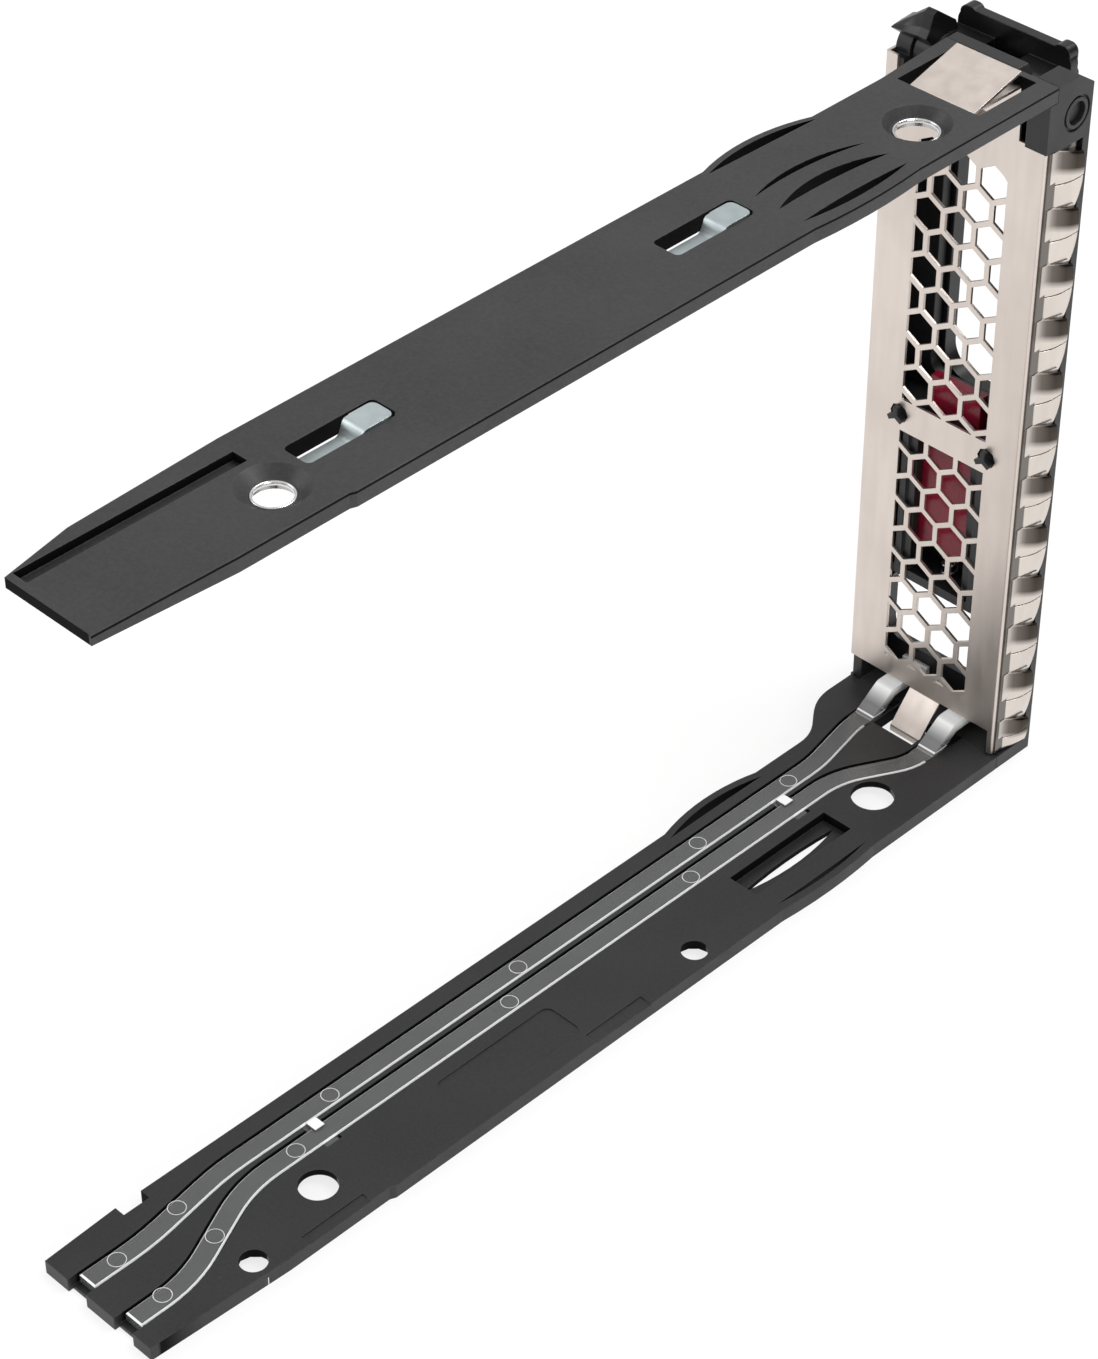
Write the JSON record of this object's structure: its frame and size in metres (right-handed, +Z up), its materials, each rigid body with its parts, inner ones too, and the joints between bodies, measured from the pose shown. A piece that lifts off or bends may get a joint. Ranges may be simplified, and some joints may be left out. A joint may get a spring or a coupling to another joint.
{
  "type": "hot swap drive caddy",
  "caption": "Open U-shaped tray for a 3.5 inch disk drive: two rails joined by a bezel with a honeycomb vent, spring fingers, an ejector lever and a sliding release latch.",
  "frame": {"origin": "centre of the bounding box at the height of the lower rail's underside", "axes": "+Y along the rails from the bezel towards the tails, +Z up from the lower to the upper rail, +X away from the spring fingers"},
  "size_m": [0.0274, 0.1602, 0.1078],
  "materials": {
    "lower_rail_plastic": "fine satin texture",
    "upper_rail_plastic": "fine satin texture",
    "bezel_plastic": "satin",
    "nickel_sheet": "satin nickel plate",
    "finger_sheet": "bright nickel plate",
    "lever_plastic": "satin",
    "pin_steel": "turned",
    "spring_steel": "drawn wire",
    "latch_plastic": "maroon, semi gloss",
    "clear_plastic": "clear, polished",
    "lens_plastic": "milky white",
    "eyelet_steel": "bright plate",
    "zinc_sheet": "bluish zinc plate"
  },
  "bodies": {
    "tray": {"lower_rail": "lower_rail_plastic", "upper_rail": "upper_rail_plastic", "bezel_frame": "bezel_plastic", "vent_shield": "nickel_sheet", "finger_strip": "finger_sheet", "pivot_pin": "pin_steel", "lever_spring": "spring_steel", "latch_spring": "spring_steel", "light_pipe": "clear_plastic", "status_lens": "lens_plastic", "activity_lens": "lens_plastic", "eyelet_front": "eyelet_steel", "eyelet_rear": "eyelet_steel", "spring_clip_front": "zinc_sheet", "spring_clip_rear": "zinc_sheet"},
    "lever": {"ejector_lever": "lever_plastic"},
    "latch": {"release_latch": "latch_plastic"}
  },
  "joints": [
    {"name": "lever_hinge", "type": "hinge", "parent": "tray", "child": "lever", "pos_m": [0, -0.0747, 0.1009], "axis": [-1, 0, 0], "range_deg": [0, 36]},
    {"name": "latch_slide", "type": "slide", "parent": "tray", "child": "latch", "axis": [0, 0, -1], "range_m": [0, 0.002], "stiffness_N_per_m": 300, "springref_m": -0.004, "deforming": ["latch_spring"]}
  ]
}
